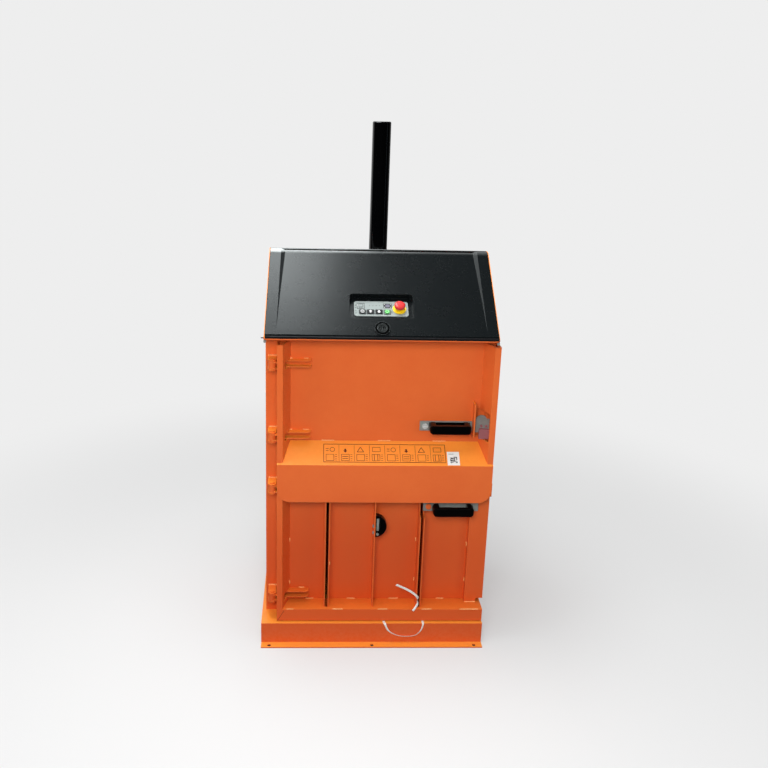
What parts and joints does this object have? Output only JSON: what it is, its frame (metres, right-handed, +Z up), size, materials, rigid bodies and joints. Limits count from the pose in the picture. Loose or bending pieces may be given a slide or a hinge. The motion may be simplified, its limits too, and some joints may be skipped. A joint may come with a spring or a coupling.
{
  "type": "recycling baler",
  "caption": "Upright hydraulic baler for card and film: folded orange body, two side-hinged doors, sloping black hood with a control pocket and a tall press cylinder on top",
  "frame": {"origin": "middle of the base frame's footprint, on the floor", "axes": "+X to the right seen from the doors, -Y out of the doors, +Z up"},
  "size_m": [0.797, 0.69, 1.802],
  "materials": {
    "orange_powder_coat": "satin orange powder coat",
    "black_hood": "satin black moulding",
    "black_gloss": "gloss black paint",
    "bare_steel": "zinc plated steel",
    "grey_panel": "light grey foil on plastic",
    "grey_paint": "grey enamel",
    "dark_motor": "dark grey enamel",
    "black_rubber": "hydraulic hose",
    "white_strap": "woven polyester strap",
    "black_grip": "black moulded grip",
    "pink_switch": "weathered reddish plastic",
    "green_key": "green key",
    "black_key": "black key",
    "yellow_collar": "yellow collar",
    "red_button": "red mushroom head"
  },
  "bodies": {
    "frame": {"base_frame": "orange_powder_coat", "left_side_wall": "orange_powder_coat", "right_side_wall": "orange_powder_coat", "rear_wall": "orange_powder_coat", "door_posts": "orange_powder_coat", "chamber_side_liners": "orange_powder_coat", "chamber_rear_liner": "orange_powder_coat", "chamber_floor": "orange_powder_coat", "roof_plate": "orange_powder_coat", "top_casing": "orange_powder_coat", "top_cap": "black_hood", "cylinder_foot": "black_gloss", "cylinder_barrel": "black_gloss", "oil_tank": "grey_paint", "pump_motor": "dark_motor", "valve_block": "grey_paint", "hydraulic_hose": "black_rubber", "electrical_box": "grey_paint", "reel_bracket": "bare_steel", "hinge_brackets": "orange_powder_coat", "hinge_pins": "orange_powder_coat", "lower_keeper": "black_grip", "upper_keeper": "bare_steel", "interlock_switch": "pink_switch", "strap_loop": "white_strap"},
    "rear_cover": {"rear_lid": "orange_powder_coat"},
    "press": {"piston_rod": "bare_steel", "press_plate": "orange_powder_coat"},
    "reel_left": {"left_reel": "white_strap"},
    "reel_right": {"right_reel": "white_strap"},
    "lower_door": {"lower_door_frame": "orange_powder_coat", "lower_door_panels": "orange_powder_coat", "lower_door_ribs": "orange_powder_coat", "lower_door_stile": "orange_powder_coat", "lower_hinge_arms": "orange_powder_coat", "strap_cutter": "black_grip", "cutter_blade": "bare_steel", "lower_latch_pivot": "orange_powder_coat", "strap_tail_long": "white_strap", "strap_tail_short": "white_strap"},
    "lower_latch": {"lower_latch_bar": "bare_steel", "lower_latch_grip": "black_grip"},
    "upper_door": {"upper_door_panel": "orange_powder_coat", "upper_door_stiles": "orange_powder_coat", "shelf_apron": "orange_powder_coat", "upper_hinge_arms": "orange_powder_coat", "guide_plate": "orange_powder_coat", "upper_latch_pivot": "bare_steel"},
    "upper_latch": {"upper_latch_bar": "bare_steel", "upper_latch_grip": "black_grip"},
    "hood": {"hood_shell": "black_hood", "control_panel": "grey_panel", "estop_collar": "yellow_collar", "lock_ring": "black_hood"},
    "start_button": {"start_key": "green_key"},
    "up_button": {"up_key": "black_key"},
    "down_button": {"down_key": "black_key"},
    "mode_button": {"mode_key": "black_key"},
    "stop_button": {"estop_head": "red_button"},
    "hood_lock": {"lock_knob": "black_hood"}
  },
  "joints": [
    {"name": "lower_door_hinge", "type": "hinge", "parent": "frame", "child": "lower_door", "pos_m": [-0.3575, -0.268, 0.37], "axis": [0, 0, -1], "range_deg": [0, 90]},
    {"name": "upper_door_hinge", "type": "hinge", "parent": "lower_door", "child": "upper_door", "pos_m": [-0.3575, -0.268, 0.9], "axis": [0, 0, -1], "range_deg": [0, 90]},
    {"name": "lower_latch_pivot", "type": "hinge", "parent": "lower_door", "child": "lower_latch", "pos_m": [0.186, -0.263, 0.516], "axis": [0, 1, 0], "range_deg": [0, 22]},
    {"name": "upper_latch_pivot", "type": "hinge", "parent": "upper_door", "child": "upper_latch", "pos_m": [0.163, -0.239, 0.806], "axis": [0, -1, 0], "range_deg": [0, 22]},
    {"name": "press_stroke", "type": "slide", "parent": "frame", "child": "press", "axis": [0, 0, -1], "range_m": [0, 0.56]},
    {"name": "hood_hinge", "type": "hinge", "parent": "frame", "child": "hood", "pos_m": [0, -0.0614, 1.348], "axis": [-1, 0, 0], "range_deg": [0, 60]},
    {"name": "rear_cover_hinge", "type": "hinge", "parent": "frame", "child": "rear_cover", "pos_m": [0, 0.083, 1.335], "axis": [1, 0, 0], "range_deg": [0, 75]},
    {"name": "left_reel_axle", "type": "hinge", "parent": "frame", "child": "reel_left", "pos_m": [-0.165, 0.175, 1.185], "axis": [1, 0, 0], "continuous": true},
    {"name": "right_reel_axle", "type": "hinge", "parent": "frame", "child": "reel_right", "pos_m": [0.165, 0.175, 1.185], "axis": [1, 0, 0], "continuous": true},
    {"name": "hood_lock_turn", "type": "hinge", "parent": "hood", "child": "hood_lock", "pos_m": [0, -0.30213, 1.16144], "axis": [0, -0.6874, 0.7262], "range_deg": [0, 90]},
    {"name": "start_push", "type": "slide", "parent": "hood", "child": "start_button", "axis": [0, 0.5436, -0.8393], "range_m": [0, 0.0012], "stiffness_N_per_m": 800},
    {"name": "up_push", "type": "slide", "parent": "hood", "child": "up_button", "axis": [0, 0.5436, -0.8393], "range_m": [0, 0.0012], "stiffness_N_per_m": 800},
    {"name": "down_push", "type": "slide", "parent": "hood", "child": "down_button", "axis": [0, 0.5436, -0.8393], "range_m": [0, 0.0012], "stiffness_N_per_m": 800},
    {"name": "mode_push", "type": "slide", "parent": "hood", "child": "mode_button", "axis": [0, 0.5436, -0.8393], "range_m": [0, 0.0012], "stiffness_N_per_m": 800},
    {"name": "stop_push", "type": "slide", "parent": "hood", "child": "stop_button", "axis": [0, 0.5436, -0.8393], "range_m": [0, 0.004], "stiffness_N_per_m": 900}
  ]
}
